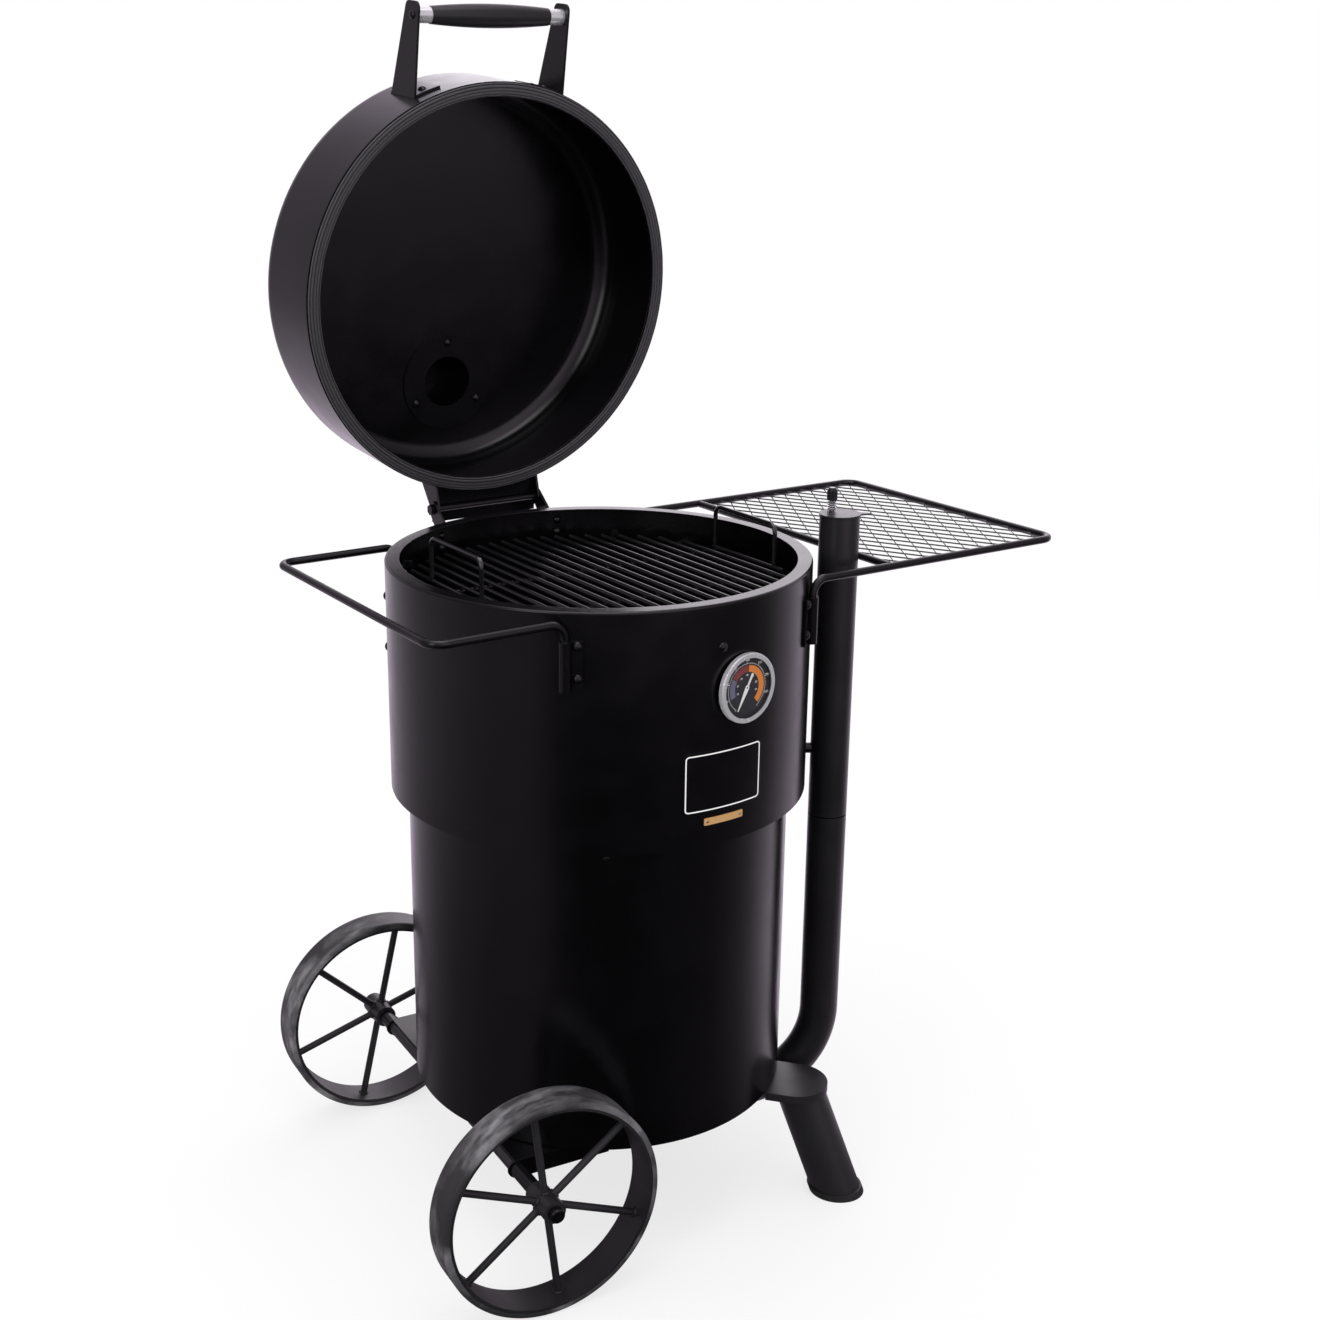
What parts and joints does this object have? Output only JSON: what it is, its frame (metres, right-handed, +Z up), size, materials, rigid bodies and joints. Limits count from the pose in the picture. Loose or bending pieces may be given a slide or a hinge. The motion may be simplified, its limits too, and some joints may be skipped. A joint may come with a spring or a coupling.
{
  "type": "drum smoker",
  "caption": "Upright drum smoker on wagon wheels and splayed legs, with a hinged lid, cooking grate, charcoal basket, side intake pipe, wire shelf and push handle.",
  "frame": {"origin": "on the floor, under the drum's upright axis", "axes": "+Z up the drum; -Y is the front with the gauge, +Y the lid's hinge, +X the wire shelf, -X the push handle and wheels"},
  "size_m": [0.9748, 0.8325, 1.5373],
  "materials": {
    "barrel_coat": "satin black powder coat, fine texture",
    "bar_coat": "gloss black powder coat on round bar",
    "black_bolts": "black oxide fasteners",
    "grate_enamel": "black porcelain enamel wire",
    "basket_steel": "heat-proof black paint",
    "wheel_rim": "black coated steel, scuffed",
    "tyre_rubber": "dull moulded rubber",
    "axle_steel": "plain drawn bar",
    "spring_steel": "bright spring wire",
    "ferrule_steel": "turned bright metal",
    "grip_black": "moulded black, satin",
    "foot_black": "moulded black, dull",
    "gasket_fibre": "braided dark fibre rope, flattened",
    "bezel_chrome": "polished ring",
    "gauge_steel": "plain pressed steel",
    "gauge_glass": "clear flat glass",
    "dial_face": "dark printed dial",
    "needle_white": "white paint",
    "badge_metal": "bare plate, black with a bright edge",
    "strip_copper": "bare copper-toned strip"
  },
  "bodies": {
    "drum": {"upper_barrel": "barrel_coat", "lower_barrel": "barrel_coat", "barrel_screws": "black_bolts", "grate_supports": "bar_coat", "grate_support_bolts": "black_bolts", "axle_plate": "barrel_coat", "axle": "axle_steel", "axle_collars": "black_bolts", "leg_plates": "barrel_coat", "leg_tubes": "barrel_coat", "feet": "foot_black", "floor_bolts": "black_bolts", "push_handle": "bar_coat", "shelf_frame": "bar_coat", "shelf_mesh": "bar_coat", "bar_sockets": "barrel_coat", "socket_bolts": "black_bolts", "intake_pipe": "barrel_coat", "intake_elbow": "barrel_coat", "intake_standoff": "barrel_coat", "intake_damper_knob": "grip_black", "intake_damper_spring": "spring_steel", "hinge_body_bracket": "barrel_coat", "hinge_body_bolts": "black_bolts", "hinge_pivots": "black_bolts", "gauge_case": "gauge_steel", "gauge_dial": "dial_face", "gauge_lens": "gauge_glass", "gauge_bezel": "bezel_chrome", "gauge_nut": "black_bolts", "badge_plate": "badge_metal", "trim_strip": "strip_copper"},
    "lid": {"lid_shell": "barrel_coat", "lid_gasket": "gasket_fibre", "lid_handle_brackets": "barrel_coat", "lid_handle_grip": "grip_black", "lid_handle_ferrules": "ferrule_steel", "lid_handle_bolts": "black_bolts", "lid_hinge_bracket": "barrel_coat", "lid_hinge_bolts": "black_bolts", "exhaust_stack": "barrel_coat", "exhaust_clamp_ring": "barrel_coat", "exhaust_screws": "black_bolts", "exhaust_damper_knob": "grip_black", "exhaust_damper_spring": "spring_steel"},
    "exhaust_damper": {"exhaust_damper": "barrel_coat"},
    "intake_damper": {"intake_damper": "barrel_coat"},
    "front_wheel": {"front_wheel_tyre": "tyre_rubber", "front_wheel_rim": "wheel_rim", "front_wheel_spokes": "wheel_rim"},
    "rear_wheel": {"rear_wheel_tyre": "tyre_rubber", "rear_wheel_rim": "wheel_rim", "rear_wheel_spokes": "wheel_rim"},
    "grate": {"cooking_grate": "grate_enamel", "grate_handles": "grate_enamel"},
    "fire_basket": {"ash_pan": "basket_steel", "charcoal_basket": "basket_steel", "basket_floor": "basket_steel", "basket_handle": "basket_steel"},
    "needle": {"gauge_needle": "needle_white"}
  },
  "joints": [
    {"name": "lid_hinge", "type": "hinge", "parent": "drum", "child": "lid", "pos_m": [0, 0.293, 0.878], "axis": [1, 0, 0], "range_deg": [0, 85]},
    {"name": "exhaust_damper_swing", "type": "hinge", "parent": "lid", "child": "exhaust_damper", "pos_m": [0.008, 0.50876, 1.0083], "axis": [0, 0.9962, 0.0872], "range_deg": [0, 90]},
    {"name": "intake_damper_swing", "type": "hinge", "parent": "drum", "child": "intake_damper", "pos_m": [0.265, -0.1365, 0.916], "axis": [0, 0, 1], "range_deg": [0, 90]},
    {"name": "front_wheel_spin", "type": "hinge", "parent": "drum", "child": "front_wheel", "pos_m": [-0.23529, -0.25545, 0.1445], "axis": [0.0767, 0.9971, 0], "continuous": true},
    {"name": "rear_wheel_spin", "type": "hinge", "parent": "drum", "child": "rear_wheel", "pos_m": [-0.19344, 0.28844, 0.1445], "axis": [0.0767, 0.9971, 0], "continuous": true},
    {"name": "grate_lift", "type": "slide", "parent": "drum", "child": "grate", "axis": [0, 0, 1], "range_m": [0, 0.08]},
    {"name": "basket_lift", "type": "slide", "parent": "drum", "child": "fire_basket", "axis": [0, 0, 1], "range_m": [0, 0.3]},
    {"name": "needle_turn", "type": "hinge", "parent": "drum", "child": "needle", "pos_m": [0.03412, -0.27393, 0.7598], "axis": [-0.1236, 0.9923, 0], "range_deg": [0, 270], "stiffness_Nm_per_rad": 0.002}
  ]
}
